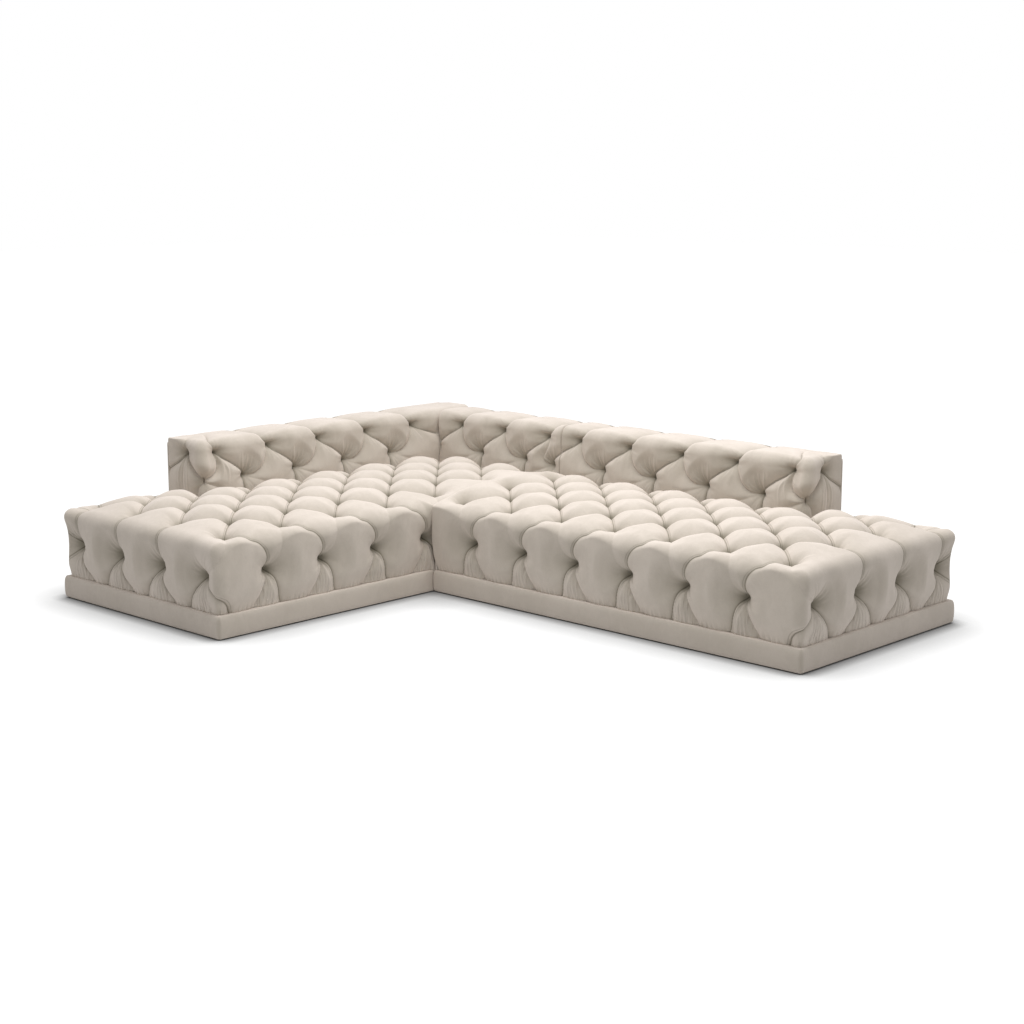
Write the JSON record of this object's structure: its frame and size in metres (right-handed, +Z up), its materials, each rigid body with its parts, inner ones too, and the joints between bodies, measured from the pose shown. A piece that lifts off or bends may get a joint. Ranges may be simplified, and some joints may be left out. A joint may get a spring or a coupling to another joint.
{
  "type": "l-shaped sofa",
  "caption": "Low L-shaped sofa in deep-tufted velvet: a corner unit and a straight unit with open ends, low backs, plain plinths and steel joining clips.",
  "frame": {"origin": "centre of the footprint's bounding box, on the floor", "axes": "+X along the right leg, away from the back corner; +Y towards the back; +Z up"},
  "size_m": [3.08, 2.295, 0.6615],
  "materials": {
    "tufted_cloth": "soft short-pile velvet, deep tufted",
    "outside_cloth": "soft short-pile velvet, pulled flat",
    "plinth_cloth": "soft short-pile velvet over thin padding",
    "dust_cloth": "black spunbond underside cloth",
    "webbing": "elastic webbing",
    "foam": "cut foam",
    "timber": "planed softwood",
    "board": "plywood",
    "steel": "zinc plated",
    "glide": "moulded nylon"
  },
  "bodies": {
    "corner_unit": {"left_glides": "glide", "left_glide_plates": "board", "left_plinth_front_rail": "timber", "left_plinth_back_rail": "timber", "left_plinth_end_rails": "timber", "left_plinth_cross_rails": "timber", "left_plinth_band": "plinth_cloth", "left_dust_cloth": "dust_cloth", "left_seat_front_rail": "timber", "left_seat_back_rail": "timber", "left_seat_end_rails": "timber", "left_seat_cross_rails": "timber", "left_corner_blocks": "timber", "left_webbing": "webbing", "left_foam_core": "foam", "left_seat_pad": "tufted_cloth", "left_joint_panel": "board", "side_back_posts": "timber", "side_back_top_board": "board", "side_back_lower_board": "board", "side_back_front_panel": "board", "side_back_pad": "tufted_cloth", "side_back_cover": "outside_cloth", "side_back_bolts": "steel", "rear_back_posts": "timber", "rear_back_top_board": "board", "rear_back_lower_board": "board", "rear_back_front_panel": "board", "rear_back_pad": "tufted_cloth", "rear_back_cover": "outside_cloth", "rear_back_bolts": "steel", "clip_jaws": "steel", "clip_jaw_screws": "steel"},
    "straight_unit": {"right_glides": "glide", "right_glide_plates": "board", "right_plinth_front_rail": "timber", "right_plinth_back_rail": "timber", "right_plinth_end_rails": "timber", "right_plinth_cross_rails": "timber", "right_plinth_band": "plinth_cloth", "right_dust_cloth": "dust_cloth", "right_seat_front_rail": "timber", "right_seat_back_rail": "timber", "right_seat_end_rails": "timber", "right_seat_cross_rails": "timber", "right_corner_blocks": "timber", "right_webbing": "webbing", "right_foam_core": "foam", "right_seat_pad": "tufted_cloth", "right_joint_panel": "board", "right_back_posts": "timber", "right_back_top_board": "board", "right_back_lower_board": "board", "right_back_front_panel": "board", "right_back_pad": "tufted_cloth", "right_back_cover": "outside_cloth", "right_back_bolts": "steel", "clip_tongues": "steel", "clip_tongue_screws": "steel"}
  },
  "joints": [
    {"name": "unit_slide", "type": "slide", "parent": "corner_unit", "child": "straight_unit", "axis": [1, 0, 0], "range_m": [0, 0.3]}
  ]
}
